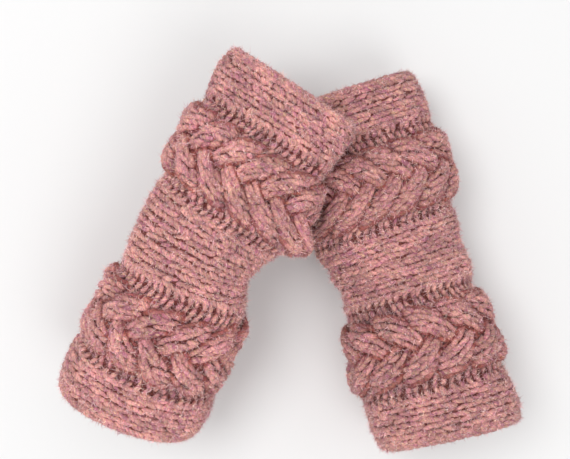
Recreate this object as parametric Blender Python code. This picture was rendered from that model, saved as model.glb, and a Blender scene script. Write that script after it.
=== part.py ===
"""A pair of sideways-knit, cabled arm warmers, worn and crossed, the left one over the right.

Each warmer is one knitted rectangle, wrapped round the hand and forearm and sewn along the thumb side,
where a slit is left open for the thumb. Its bands run round the arm: a rib band at the fingers, a
cable, a rib band at the wrist, a second cable, and a rib band as the cuff, with purl gutters between.

Frame: +Z is up, +Y runs to the fingers' side and +X to the right. The origin is the middle of the
left wrist. Sizes are in millimetres and degrees, and become metres where a mesh is made.
"""
import math

import bmesh
import bpy
import numpy as np
from mathutils import Matrix, Vector

MM = 0.001

# The knitting
COLUMN = 6.4              # one knit column across the bands
CUFF_COLUMN = 6.2         # the same in the cuff
RIM_WIDTH = 2.4           # the slipped stitch along each rim
ROWS = 48                 # rows round a warmer
ROWS_PER_CHEVRON = 4      # the plait crosses to each side once in four rows
STRANDS = 3               # strands in a plait

# The bands from the fingers to the elbow
BANDS = (
    # kind, columns, width
    ("rim", 1, RIM_WIDTH),
    ("rib", 4, 4 * COLUMN),
    ("purl", 2, 6.8),
    ("plait", 9, 44.0),
    ("purl", 2, 5.6),
    ("rib", 6, 6 * COLUMN),
    ("purl", 2, 6.8),
    ("plait", 9, 44.0),
    ("purl", 2, 5.6),
    ("rib", 4, 4 * CUFF_COLUMN),
    ("rim", 1, RIM_WIDTH),
)
THUMB_BAND = 3            # the band whose seam is left open

# The cloth
WALL_IN = 1.6             # from the cloth's middle face to its plain inside
WALL_OUT = 1.0            # from the middle face to the floor of a gutter
RIB_VALLEY = 0.3          # height between two knit columns
RIB_RISE = 1.8            # height of a knit column over the gutter
RIM_RISE = 0.3            # height at the two rims' edges
PLAIT_FLOOR = 0.6         # height beside a strand
PLAIT_EASE = 6.0          # the plait rises from the gutter over one part in this many of its width
STRAND_RISE = 3.2         # how far a strand's round back stands up
STRAND_LIFT = 1.8         # how far a strand climbs over the next one
STRAND_HALF = 0.40        # half a strand's width, in half band widths
STRAND_SWING = 0.58       # how far a strand swings from the band's middle, in half band widths
OUTWARD = 0.82            # share of its way that a strand goes outwards and over the others

# The thumb slit
SEAM_DROP = 11.0          # how far the seam lies round from the widest point to the palm side
SLIT_GAP = 25.0           # how far the slit is spread round the hand
SLIT_INSET = 1.5          # from the band's edges to the slit's ends
SLIT_FULLNESS = 0.75      # power of the sine that the slit opens by: less is rounder at the ends

# Grid sizes
ARC_STEPS = 720           # fine steps for measuring round a section
AXIS_STEPS = 401          # fine steps for the bent axis
COARSE = 28               # faces round the rib bands and the inside
FINE = 70                 # faces round the cables
RINGS_PER_COLUMN = 3
RINGS_PER_RIM = 2         # and to a gutter
RINGS_PER_PLAIT = 13
INNER_STEP = 12.0         # distance between rings on the plain inside
SLIT_STEP = 5.5           # the same beside the slit

# Each section is four quarters of a squarish oval, on the middle face of the cloth. Its slant is how
# much nearer to the elbow its thumb side lies than its little finger side.
SQUARENESS = 2.25

LEFT_SECTIONS = (
    # station, thumb side, little finger side, back of hand, palm, slant
    (0.0, 42.0, 33.0, 18.0, 19.0, 8.0),
    (14.0, 42.4, 36.4, 18.5, 20.0, 8.0),
    (27.0, 40.0, 35.4, 19.5, 21.5, 7.5),
    (42.0, 38.0, 34.8, 20.0, 23.5, 8.0),
    (57.0, 40.4, 34.4, 21.0, 24.5, 9.0),
    (72.0, 43.4, 34.4, 22.5, 24.5, 10.0),
    (81.0, 38.8, 35.8, 23.5, 24.0, 10.0),
    (90.0, 31.6, 37.4, 23.5, 23.5, 8.0),
    (102.0, 28.6, 37.6, 23.0, 23.0, 3.0),
    (116.0, 29.6, 36.6, 24.0, 24.5, -3.0),
    (126.0, 33.6, 35.6, 26.5, 27.0, -3.5),
    (142.0, 33.6, 34.8, 28.0, 28.5, -2.5),
    (162.0, 34.6, 34.8, 30.0, 30.5, -1.0),
    (176.0, 38.6, 38.8, 33.5, 33.5, -1.0),
    (186.0, 41.0, 41.2, 35.0, 35.0, -2.5),
    (197.0, 41.6, 40.6, 36.0, 36.0, -4.5),
    (207.0, 40.0, 38.6, 35.0, 35.0, -6.5),
)
RIGHT_SECTIONS = (
    # station, thumb side, little finger side, back of hand, palm, slant
    (0.0, 42.0, 33.6, 18.0, 19.0, 2.0),
    (14.0, 42.4, 37.4, 18.5, 20.0, 2.0),
    (27.0, 40.0, 37.6, 19.5, 21.5, 2.0),
    (42.0, 38.6, 37.2, 20.0, 23.5, 2.5),
    (57.0, 40.4, 37.0, 21.0, 24.5, 3.0),
    (72.0, 43.4, 35.4, 22.5, 24.5, 4.0),
    (81.0, 44.6, 35.0, 23.5, 24.0, 4.0),
    (90.0, 42.4, 36.0, 23.5, 23.5, 3.0),
    (102.0, 38.8, 35.0, 23.0, 23.0, 1.5),
    (116.0, 36.6, 36.0, 24.0, 24.5, 0.0),
    (126.0, 37.2, 33.8, 26.5, 27.0, 0.0),
    (142.0, 37.2, 33.6, 28.0, 28.5, 0.0),
    (162.0, 39.4, 33.8, 30.0, 30.5, -1.0),
    (176.0, 41.4, 36.8, 33.5, 33.5, -1.5),
    (186.0, 41.2, 38.4, 35.0, 35.0, -2.5),
    (197.0, 41.2, 39.4, 36.0, 36.0, -3.5),
    (207.0, 38.6, 37.4, 35.0, 35.0, -4.0),
)

LEFT_FOLDS = (
    # station, turn from the seam, half length along the arm, half length in turns, rise
    (81.8, 0.16, 5.0, 0.12, -3.4),
    (74.2, 0.15, 6.0, 0.12, 1.8),
    (82.0, 0.84, 5.0, 0.13, -2.6),
    (108.4, 0.10, 5.0, 0.09, -1.6),
    (106.4, 0.88, 5.5, 0.10, -1.6),
)
RIGHT_FOLDS = (
    # station, turn from the seam, half length along the arm, half length in turns, rise
    (95.9, 0.14, 3.6, 0.11, -2.2),
    (102.9, 0.13, 4.0, 0.10, 1.4),
    (110.4, 0.15, 4.6, 0.12, -2.4),
    (100.4, 0.50, 4.6, 0.07, -1.6),
    (94.4, 0.86, 4.4, 0.12, -2.2),
    (109.4, 0.85, 4.6, 0.12, -2.0),
)

WRIST_STATION = 104.0     # the middle of the wrist band, where the arm bends
BEND_LENGTH = 60.0        # the bend is spread over this length

# Where each warmer lies
LEFT_WRIST = (0.0, 0.0, 0.0)
LEFT_HEADING = 63.0       # direction of the fingers, from +X
LEFT_PITCHES = (3.0, 16.0)       # how far the hand and the forearm climb to the fingers
RIGHT_WRIST = (113.0, -7.0, -32.5)
RIGHT_HEADING = 106.0
RIGHT_PITCHES = (0.0, -6.0)

YARN_ROSE = (0.47, 0.24, 0.27, 1.0)
YARN_ROUGHNESS = 0.95


def smooth(values, stations, at):
    """A smooth curve through the table's values, with each row's slope taken from its neighbours."""
    stations = np.asarray(stations, float)
    values = np.asarray(values, float)
    slopes = np.gradient(values, stations)
    at = np.clip(at, stations[0], stations[-1])
    row = np.clip(np.searchsorted(stations, at) - 1, 0, len(stations) - 2)
    span = stations[row + 1] - stations[row]
    t = (at - stations[row]) / span
    return (values[row] * (2 * t**3 - 3 * t**2 + 1) + values[row + 1] * (3 * t**2 - 2 * t**3)
            + span * slopes[row] * (t**3 - 2 * t**2 + t) + span * slopes[row + 1] * (t**3 - t**2))


def band_edges():
    """The stations where the bands start, and the far rim."""
    widths = [width for _, _, width in BANDS]
    return np.concatenate(([0.0], np.cumsum(widths)))


EDGES = band_edges()
LENGTH = EDGES[-1]
CHEVRONS = ROWS // ROWS_PER_CHEVRON


def strand_path(turn):
    """Side-to-side place of a strand, from -1 to 1, and its lift, along its way round.

    A strand goes slowly outwards over the others, to one side and then to the other, and quickly
    back to the middle under them.
    """
    half_way = (turn / math.pi) % 1.0
    side = np.where((turn / math.tau) % 1.0 < 0.5, 1.0, -1.0)
    outward = np.clip(half_way / OUTWARD, 0.0, 1.0)
    inward = np.clip((half_way - OUTWARD) / (1.0 - OUTWARD), 0.0, 1.0)
    reach = np.where(half_way < OUTWARD, np.sin(math.pi / 2 * outward), np.cos(math.pi / 2 * inward))
    lift = np.where(half_way < OUTWARD, np.sin(math.pi * outward), -np.sin(math.pi * inward))
    return side * reach, lift


def plait_height(across, phase):
    """Height of the plait: the highest of its strands, each with a round back."""
    height = np.full(np.broadcast(across, phase).shape, PLAIT_FLOOR)
    for strand in range(STRANDS):
        reach, lift = strand_path(phase + strand * math.tau / STRANDS)
        away = np.clip(np.abs(across - STRAND_SWING * reach) / STRAND_HALF, 0.0, 1.0)
        top = PLAIT_FLOOR + STRAND_RISE * np.sqrt(1.0 - away**2) + STRAND_LIFT * lift
        height = np.maximum(height, np.where(away < 1.0, top, 0.0))
    return height


def relief(station, rows):
    """Height of the knitting over the gutter's floor, at a station and a share of the rows round."""
    band = min(int(np.searchsorted(EDGES, station, side="right")) - 1, len(BANDS) - 1)
    kind, columns, width = BANDS[band]
    along = (station - EDGES[band]) / width
    if kind == "rim":
        return np.full(rows.shape, RIM_RISE + (RIB_RISE - RIM_RISE) * math.sin(math.pi * min(along, 1.0)))
    if kind == "rib":
        within = (along * columns) % 1.0
        crest = math.sqrt(max(0.0, 1.0 - (2.0 * within - 1.0) ** 2))
        return np.full(rows.shape, RIB_VALLEY + (RIB_RISE - RIB_VALLEY) * crest)
    if kind == "plait":
        edge = min(1.0, PLAIT_EASE * min(along, 1.0 - along))
        return plait_height(2.0 * along - 1.0, -rows * CHEVRONS * math.tau / STRANDS) * edge
    return np.zeros(rows.shape)


def fold_rise(folds, station, turn):
    """Sum of the soft folds at a station: each is a smooth mound or trough."""
    total = np.zeros(turn.shape)
    for at, middle, half_along, half_turn, rise in folds:
        away = np.abs((turn - middle + 0.5) % 1.0 - 0.5) / half_turn
        total = total + rise * np.exp(-((station - at) / half_along) ** 2) * np.exp(-away**2)
    return total


def oval(thumb, little, back, palm):
    """Points on a section, their outward normals, and the length round to each.

    The angle starts at the thumb side and climbs over the back of the hand.
    """
    angle = np.linspace(0.0, math.tau, ARC_STEPS + 1)
    power = 2.0 / SQUARENESS
    cos = np.cos(angle)
    sin = np.sin(angle)
    x = np.where(cos > 0, thumb, little) * np.sign(cos) * np.abs(cos) ** power
    z = np.where(sin > 0, back, palm) * np.sign(sin) * np.abs(sin) ** power
    dx = np.gradient(x)
    dz = np.gradient(z)
    dx[0] = dx[-1] = (dx[0] + dx[-1]) / 2
    dz[0] = dz[-1] = (dz[0] + dz[-1]) / 2
    size = np.hypot(dx, dz)
    steps = np.hypot(np.diff(x), np.diff(z))
    return x, z, dz / size, -dx / size, np.concatenate(([0.0], np.cumsum(steps)))


def slit_gap(station):
    """How far the slit stands open at a station: a lens from end to end of its band."""
    start = EDGES[THUMB_BAND] + SLIT_INSET
    end = EDGES[THUMB_BAND + 1] - SLIT_INSET
    if not start < station < end:
        return 0.0
    return SLIT_GAP * math.sin(math.pi * (station - start) / (end - start)) ** SLIT_FULLNESS


def axis_frame(station, pitches):
    """Where the bent axis is at a station, in (along, up), and its pitch in radians."""
    grid = np.linspace(0.0, LENGTH, AXIS_STEPS)
    mix = np.clip((grid - WRIST_STATION) / BEND_LENGTH + 0.5, 0.0, 1.0)
    mix = mix * mix * (3.0 - 2.0 * mix)
    pitch = np.radians(pitches[0] * (1.0 - mix) + pitches[1] * mix)
    step = grid[1] - grid[0]
    along = -np.concatenate(([0.0], np.cumsum(step * np.cos((pitch[1:] + pitch[:-1]) / 2))))
    up = -np.concatenate(([0.0], np.cumsum(step * np.sin((pitch[1:] + pitch[:-1]) / 2))))
    along = along - np.interp(WRIST_STATION, grid, along)
    up = up - np.interp(WRIST_STATION, grid, up)
    return (np.interp(station, grid, along), np.interp(station, grid, up), np.interp(station, grid, pitch))


def ring(shape, station, count, outside):
    """One ring of a face of the cloth, from the seam round to the seam, and whether it is closed."""
    sections, folds, pitches = shape
    table = np.array(sections)
    sizes = [float(smooth(column, table[:, 0], station)) for column in table[:, 1:].T]
    x, z, normal_x, normal_z, length = oval(*sizes[:-1])
    gap = slit_gap(station)
    round_length = length[-1]
    rows = np.linspace(0.0, 1.0, count + 1)
    turn = gap / 2 / round_length + rows * (1.0 - gap / round_length)
    reach = (turn * round_length - SEAM_DROP) % round_length
    fold = fold_rise(folds, station, turn)
    offset = (WALL_OUT + relief(station, rows) if outside else -WALL_IN) + fold
    across = np.interp(reach, length, x) + offset * np.interp(reach, length, normal_x)
    height = np.interp(reach, length, z) + offset * np.interp(reach, length, normal_z)
    along, up, pitch = axis_frame(station, pitches)
    along = along - sizes[-1] * across / (sizes[0] + sizes[1])
    points = np.column_stack((across, along - height * math.sin(pitch), up + height * math.cos(pitch)))
    return points, gap == 0.0


def outer_stations():
    """Stations and face counts of the outer rings: several to a knit column, more on the cables."""
    rows = []
    for (kind, columns, width), start in zip(BANDS, EDGES):
        steps = {"rib": columns * RINGS_PER_COLUMN, "plait": RINGS_PER_PLAIT}.get(kind, RINGS_PER_RIM)
        count = FINE if kind == "plait" else COARSE
        rows += [(start + width * step / steps, count) for step in range(steps)]
    rows.append((LENGTH, COARSE))
    return rows


def inner_stations():
    """Stations of the plain inside: close together beside the slit, and wide apart elsewhere."""
    start = EDGES[THUMB_BAND]
    end = EDGES[THUMB_BAND + 1]
    stations = []
    for low, high, step in ((0.0, start, INNER_STEP), (start, end, SLIT_STEP), (end, LENGTH, INNER_STEP)):
        steps = max(1, round((high - low) / step))
        stations += [low + (high - low) * index / steps for index in range(steps)]
    return [(station, COARSE) for station in stations + [LENGTH]]


def zip_rows(mesh, one, two):
    """Faces between two rows of points, quads where both step together and triangles elsewhere."""
    i = 0
    j = 0
    while i < len(one) - 1 or j < len(two) - 1:
        next_i = (i + 1) / (len(one) - 1)
        next_j = (j + 1) / (len(two) - 1)
        if abs(next_i - next_j) < 1e-9:
            corners = (one[i], two[j], two[j + 1], one[i + 1])
            i += 1
            j += 1
        elif next_i < next_j:
            corners = (one[i], two[j], one[i + 1])
            i += 1
        else:
            corners = (one[i], two[j], two[j + 1])
            j += 1
        face = list(dict.fromkeys(corners))
        if len(face) > 2:
            mesh.faces.new(face)


def face_of_cloth(mesh, shape, stations, outside):
    """One face of the cloth as rows of points from the fingers to the elbow."""
    rows = []
    for station, count in stations:
        points, closed = ring(shape, station, count, outside)
        row = [mesh.verts.new(point) for point in (points[:-1] if closed else points)]
        rows.append((row + row[:1] if closed else row, closed))
    for (one, _), (two, _) in zip(rows, rows[1:]):
        zip_rows(mesh, one, two)
    return rows


def slit_edge(rows, end):
    """The points along one edge of the slit, with the closed rings that end it."""
    opened = [index for index, (_, closed) in enumerate(rows) if not closed]
    return [rows[index][0][end] for index in range(opened[0] - 1, opened[-1] + 2)]


def knit_warmer(name, shape, thumb_side, wrist, heading, material):
    """One warmer: its outer and inner faces, joined at both rims and round the slit."""
    mesh = bmesh.new()
    outer = face_of_cloth(mesh, shape, outer_stations(), True)
    inner = face_of_cloth(mesh, shape, inner_stations(), False)
    zip_rows(mesh, outer[0][0], inner[0][0])
    zip_rows(mesh, outer[-1][0], inner[-1][0])
    zip_rows(mesh, slit_edge(outer, 0), slit_edge(inner, 0))
    zip_rows(mesh, slit_edge(outer, -1), slit_edge(inner, -1))
    place = Matrix.Translation(Vector(wrist)) @ Matrix.Rotation(math.radians(heading - 90.0), 4, "Z")
    mirror = Matrix.Diagonal((thumb_side, 1.0, 1.0, 1.0))
    bmesh.ops.transform(mesh, matrix=Matrix.Scale(MM, 4) @ place @ mirror, verts=mesh.verts)
    bmesh.ops.triangulate(mesh, faces=mesh.faces)
    bmesh.ops.recalc_face_normals(mesh, faces=mesh.faces)
    data = bpy.data.meshes.new(name)
    mesh.to_mesh(data)
    mesh.free()
    data.materials.append(material)
    data.shade_smooth()
    warmer = bpy.data.objects.new(name, data)
    bpy.context.collection.objects.link(warmer)
    return warmer


def yarn(name):
    """Dusty rose wool, fully rough."""
    material = bpy.data.materials.new(name)
    material.use_nodes = True
    shader = material.node_tree.nodes["Principled BSDF"]
    shader.inputs["Base Color"].default_value = YARN_ROSE
    shader.inputs["Roughness"].default_value = YARN_ROUGHNESS
    shader.inputs["Metallic"].default_value = 0.0
    return material


def main():
    """The pair, the left warmer over the right."""
    for thing in list(bpy.data.objects):
        bpy.data.objects.remove(thing)
    left_shape = (LEFT_SECTIONS, LEFT_FOLDS, LEFT_PITCHES)
    right_shape = (RIGHT_SECTIONS, RIGHT_FOLDS, RIGHT_PITCHES)
    knit_warmer("left_warmer", left_shape, 1.0, LEFT_WRIST, LEFT_HEADING, yarn("left_yarn"))
    knit_warmer("right_warmer", right_shape, -1.0, RIGHT_WRIST, RIGHT_HEADING, yarn("right_yarn"))


if __name__ == "__main__":
    main()
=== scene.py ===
# %% [markdown]
# # A pair of cabled arm warmers
# Each warmer is one rectangle of bulky wool, knitted sideways, rolled into a tube and sewn along one
# side, with a thumb slit left open in the seam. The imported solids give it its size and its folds.
# This script knits the yarn over that form: each stitch of the ribs, the gutters and the plaits, the
# chains along the rims and the seam, and the loose hairs.

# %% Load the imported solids
import math

import bpy
import numpy as np
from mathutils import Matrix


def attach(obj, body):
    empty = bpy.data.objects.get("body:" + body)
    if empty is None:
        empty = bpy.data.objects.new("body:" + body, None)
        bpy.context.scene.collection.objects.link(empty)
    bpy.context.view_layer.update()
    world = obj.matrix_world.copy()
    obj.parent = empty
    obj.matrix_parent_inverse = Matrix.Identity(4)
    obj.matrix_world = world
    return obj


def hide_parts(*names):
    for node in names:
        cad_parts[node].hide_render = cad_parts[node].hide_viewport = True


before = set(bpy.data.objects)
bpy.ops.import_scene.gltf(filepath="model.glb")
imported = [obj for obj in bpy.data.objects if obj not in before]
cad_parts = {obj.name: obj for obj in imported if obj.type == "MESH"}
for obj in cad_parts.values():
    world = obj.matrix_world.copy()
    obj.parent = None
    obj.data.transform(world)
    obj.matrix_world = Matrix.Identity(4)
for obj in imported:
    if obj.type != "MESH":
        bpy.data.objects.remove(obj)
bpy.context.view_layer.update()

MM = 0.001
SEED = 7
rng = np.random.default_rng(SEED)

# %% [markdown]
# ## The camera, the floor and the light
# The photograph looks straight down on a white ground. The camera hangs above the place where the
# warmers cross, with a mild lens. A wide white floor lies just under the lower warmer, so that it
# takes its soft shadow. Two wide lamps and a white sky light the wool: the nearer lamp gives each
# strand a shaded side, and the other one fills it. A sun lamp would be simpler, but too sharp.

# %% Camera
CAMERA_PLACE = (0.0455, 0.0120, 0.632)
CAMERA_VIEW = 28.0            # degrees from side to side

camera = bpy.data.objects.new("camera", bpy.data.cameras.new("camera"))
bpy.context.scene.collection.objects.link(camera)
camera.location = CAMERA_PLACE
camera.data.angle = math.radians(CAMERA_VIEW)
bpy.context.scene.camera = camera
print("camera looks straight down from", CAMERA_PLACE)

# %% Floor
FLOOR_HEIGHT = -0.0700
FLOOR_HALF = 3.0
FLOOR_WHITE = (0.785, 0.785, 0.785, 1.0)
FLOOR_ROUGHNESS = 0.6


def linked_mesh(name, points, faces):
    """A smooth mesh object from whole arrays: points (n, 3) in metres, faces (m, 3) or (m, 4)."""
    data = bpy.data.meshes.new(name)
    data.vertices.add(len(points))
    data.vertices.foreach_set("co", np.asarray(points, np.float32).ravel())
    data.loops.add(faces.size)
    data.loops.foreach_set("vertex_index", np.asarray(faces, np.int32).ravel())
    data.polygons.add(len(faces))
    starts = np.arange(len(faces), dtype=np.int32) * faces.shape[1]
    data.polygons.foreach_set("loop_start", starts)
    data.polygons.foreach_set("use_smooth", np.ones(len(faces), bool))
    data.update(calc_edges=True)
    piece = bpy.data.objects.new(name, data)
    bpy.context.scene.collection.objects.link(piece)
    return piece


corners = np.array([(-1, -1), (1, -1), (1, 1), (-1, 1)], float) * FLOOR_HALF
floor_points = np.column_stack((corners, np.full(4, FLOOR_HEIGHT)))
floor = linked_mesh("floor", floor_points, np.array([[0, 1, 2, 3]]))
paint = bpy.data.materials.new("white_floor")
paint.use_nodes = True
paint.node_tree.nodes["Principled BSDF"].inputs["Base Color"].default_value = FLOOR_WHITE
paint.node_tree.nodes["Principled BSDF"].inputs["Roughness"].default_value = FLOOR_ROUGHNESS
floor.data.materials.append(paint)
print("floor at", FLOOR_HEIGHT, "m")

# %% Light
SKY_STRENGTH = 0.72
LAMPS = (
    # name, place, width, power
    ("window", (-1.0, 0.40, 2.8), 1.6, 38.0),
    ("fill", (1.1, -1.6, 3.0), 2.0, 28.0),
)
LAMP_AIM = (0.05, 0.0, -0.02)

sky = bpy.data.worlds.new("sky")
sky.use_nodes = True
background = sky.node_tree.nodes["Background"]
background.inputs["Color"].default_value = (1.0, 1.0, 1.0, 1.0)
background.inputs["Strength"].default_value = SKY_STRENGTH
bpy.context.scene.world = sky
bpy.context.scene.view_settings.view_transform = "Standard"

for name, place, width, power in LAMPS:
    lamp = bpy.data.objects.new(name, bpy.data.lights.new(name, "AREA"))
    bpy.context.scene.collection.objects.link(lamp)
    lamp.data.shape = "DISK"
    lamp.data.size = width
    lamp.data.energy = power
    lamp.location = place
    aim = np.array(LAMP_AIM) - np.array(place)
    lamp.rotation_euler = (math.atan2(math.hypot(aim[0], aim[1]), -aim[2]), 0.0,
                           math.atan2(aim[1], aim[0]) - math.pi / 2)
    print(name, "lamp,", width, "m wide,", power, "W")

# %% [markdown]
# ## The knitting's plan
# Going from the upper end to the cuff, the bands are a slipped rim, a rib of knit columns, a purl
# gutter, a plait, and so on down to the second rim. Sizes are in millimetres. The rows go once round
# the warmer, from the seam over the top, and back along the underside. Writing the plan down as a
# table, as a knitter would, keeps every later piece in step with it.

# %% Bands and stitches
COLUMN = 6.4                  # width of one knit column
CUFF_COLUMN = 6.2
RIM_WIDTH = 2.4
ROWS = 48                     # once round
ROWS_PER_CHEVRON = 4
STRANDS = 3
BANDS = (
    # kind, columns, width
    ("rim", 1, RIM_WIDTH),
    ("rib", 4, 4 * COLUMN),
    ("purl", 2, 6.8),
    ("plait", 9, 44.0),
    ("purl", 2, 5.6),
    ("rib", 6, 6 * COLUMN),
    ("purl", 2, 6.8),
    ("plait", 9, 44.0),
    ("purl", 2, 5.6),
    ("rib", 4, 4 * CUFF_COLUMN),
    ("rim", 1, RIM_WIDTH),
)
SLIT_BAND = 3                 # the plait whose edges are left unsewn
WALL_IN = 1.6                 # depth of the cloth's inner face under its middle face
WALL_OUT = 1.0                # height of its outer face at a gutter's floor
SEAM_DROP = 11.0              # from the oval's side round to the seam, towards the underside
SLIT_GAP = 25.0               # the slit's widest opening
SLIT_INSET = 1.5              # how far inside its band the slit ends
SLIT_FULLNESS = 0.75          # under 1, the lens is fuller than a sine
SQUARENESS = 2.25             # 2 is an ellipse

EDGES = np.concatenate(([0.0], np.cumsum([width for _, _, width in BANDS])))
LENGTH = EDGES[-1]
CHEVRONS = ROWS // ROWS_PER_CHEVRON
print("from rim to rim:", LENGTH, "mm; chevrons round:", CHEVRONS)

# %% [markdown]
# ## The worn form
# When worn, the cloth is filled out to a squarish oval, bends a little half way, and gathers there in
# soft folds. A cloth simulation could drape it, but not to the photograph's shape. The tables give
# the oval's four half widths at each station, and the folds as smooth mounds and troughs. The solids
# were made from the same tables.

# %% Sections, folds and places
SECTIONS = np.array((
    # station, top, underside, then for the left and the right: seam side, far side, slant
    (0.0, 18.0, 19.0, 42.0, 33.0, 8.0, 42.0, 33.6, 2.0),
    (14.0, 18.5, 20.0, 42.4, 36.4, 8.0, 42.4, 37.4, 2.0),
    (27.0, 19.5, 21.5, 40.0, 35.4, 7.5, 40.0, 37.6, 2.0),
    (42.0, 20.0, 23.5, 38.0, 34.8, 8.0, 38.6, 37.2, 2.5),
    (57.0, 21.0, 24.5, 40.4, 34.4, 9.0, 40.4, 37.0, 3.0),
    (72.0, 22.5, 24.5, 43.4, 34.4, 10.0, 43.4, 35.4, 4.0),
    (81.0, 23.5, 24.0, 38.8, 35.8, 10.0, 44.6, 35.0, 4.0),
    (90.0, 23.5, 23.5, 31.6, 37.4, 8.0, 42.4, 36.0, 3.0),
    (102.0, 23.0, 23.0, 28.6, 37.6, 3.0, 38.8, 35.0, 1.5),
    (116.0, 24.0, 24.5, 29.6, 36.6, -3.0, 36.6, 36.0, 0.0),
    (126.0, 26.5, 27.0, 33.6, 35.6, -3.5, 37.2, 33.8, 0.0),
    (142.0, 28.0, 28.5, 33.6, 34.8, -2.5, 37.2, 33.6, 0.0),
    (162.0, 30.0, 30.5, 34.6, 34.8, -1.0, 39.4, 33.8, -1.0),
    (176.0, 33.5, 33.5, 38.6, 38.8, -1.0, 41.4, 36.8, -1.5),
    (186.0, 35.0, 35.0, 41.0, 41.2, -2.5, 41.2, 38.4, -2.5),
    (197.0, 36.0, 36.0, 41.6, 40.6, -4.5, 41.2, 39.4, -3.5),
    (207.0, 35.0, 35.0, 40.0, 38.6, -6.5, 38.6, 37.4, -4.0),
))
LEFT_COLUMNS = (3, 4, 1, 2, 5)         # the table's columns in the order that worn_form takes
RIGHT_COLUMNS = (6, 7, 1, 2, 8)
LEFT_FOLDS = (
    # station, turn from the seam, half length along the warmer, half length in turns, rise
    (81.8, 0.16, 5.0, 0.12, -3.4),
    (74.2, 0.15, 6.0, 0.12, 1.8),
    (82.0, 0.84, 5.0, 0.13, -2.6),
    (108.4, 0.10, 5.0, 0.09, -1.6),
    (106.4, 0.88, 5.5, 0.10, -1.6),
)
RIGHT_FOLDS = (
    (95.9, 0.14, 3.6, 0.11, -2.2),
    (102.9, 0.13, 4.0, 0.10, 1.4),
    (110.4, 0.15, 4.6, 0.12, -2.4),
    (100.4, 0.50, 4.6, 0.07, -1.6),
    (94.4, 0.86, 4.4, 0.12, -2.2),
    (109.4, 0.85, 4.6, 0.12, -2.0),
)
BEND_STATION = 104.0
BEND_LENGTH = 60.0
WARMERS = {
    # columns, folds, pitches above and below the bend, seam side, the bend's place, heading
    "left": (LEFT_COLUMNS, LEFT_FOLDS, (3.0, 16.0), 1.0, (0.0, 0.0, 0.0), 63.0),
    "right": (RIGHT_COLUMNS, RIGHT_FOLDS, (0.0, -6.0), -1.0, (113.0, -7.0, -32.5), 106.0),
}
print("warmers:", list(WARMERS), "with", len(SECTIONS), "sections each")

# %% [markdown]
# ## From the plan to the form
# Every stitch is drawn on the flat plan first, by its station along the warmer, its share of the
# rows round, and its height over the cloth's middle face. One function then carries any such point
# onto the worn form. A lattice could bend a flat knit too, but its rows would not spread round the
# slit. So a fine grid of places and outward directions is worked out once and read for every point.

# %% Grid of the worn form
GRID_STEP = 0.5               # between two stations of the grid
GRID_SPARE = 6.0              # how far the grid runs past the rims
TURN_STEPS = 720


def smooth(values, stations, at):
    """A smooth curve through the table's values, each row's slope taken from its neighbours."""
    slopes = np.gradient(values, stations)
    at = np.clip(at, stations[0], stations[-1])
    row = np.clip(np.searchsorted(stations, at) - 1, 0, len(stations) - 2)
    span = stations[row + 1] - stations[row]
    t = (at - stations[row]) / span
    return (values[row] * (2 * t**3 - 3 * t**2 + 1) + values[row + 1] * (3 * t**2 - 2 * t**3)
            + span * slopes[row] * (t**3 - 2 * t**2 + t) + span * slopes[row + 1] * (t**3 - t**2))


def bent_axis(stations, pitches):
    """Along, up and pitch of the bent axis: the pitch eases from the upper part's to the lower's."""
    mix = np.clip((stations - BEND_STATION) / BEND_LENGTH + 0.5, 0.0, 1.0)
    mix = mix * mix * (3.0 - 2.0 * mix)
    pitch = np.radians(pitches[0] * (1.0 - mix) + pitches[1] * mix)
    middle = (pitch[1:] + pitch[:-1]) / 2
    step = np.diff(stations)
    along = -np.concatenate(([0.0], np.cumsum(step * np.cos(middle))))
    up = -np.concatenate(([0.0], np.cumsum(step * np.sin(middle))))
    return (along - np.interp(BEND_STATION, stations, along),
            up - np.interp(BEND_STATION, stations, up), pitch)


def squarish_oval(near, far, top, under):
    """Each row is one section: four quarters of |x/a|^n + |z/b|^n = 1, its normals and length."""
    angle = np.linspace(0.0, math.tau, TURN_STEPS + 1)
    cos = np.cos(angle)
    sin = np.sin(angle)
    power = 2.0 / SQUARENESS
    x = np.where(cos > 0, near[:, None], far[:, None]) * np.sign(cos) * np.abs(cos) ** power
    z = np.where(sin > 0, top[:, None], under[:, None]) * np.sign(sin) * np.abs(sin) ** power
    dx = np.gradient(x, axis=1)
    dz = np.gradient(z, axis=1)
    for slope in (dx, dz):
        slope[:, 0] = slope[:, -1] = (slope[:, 0] + slope[:, -1]) / 2
    size = np.hypot(dx, dz)
    steps = np.hypot(np.diff(x, axis=1), np.diff(z, axis=1))
    length = np.concatenate((np.zeros((len(x), 1)), np.cumsum(steps, axis=1)), axis=1)
    return x, z, dz / size, -dx / size, length


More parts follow.
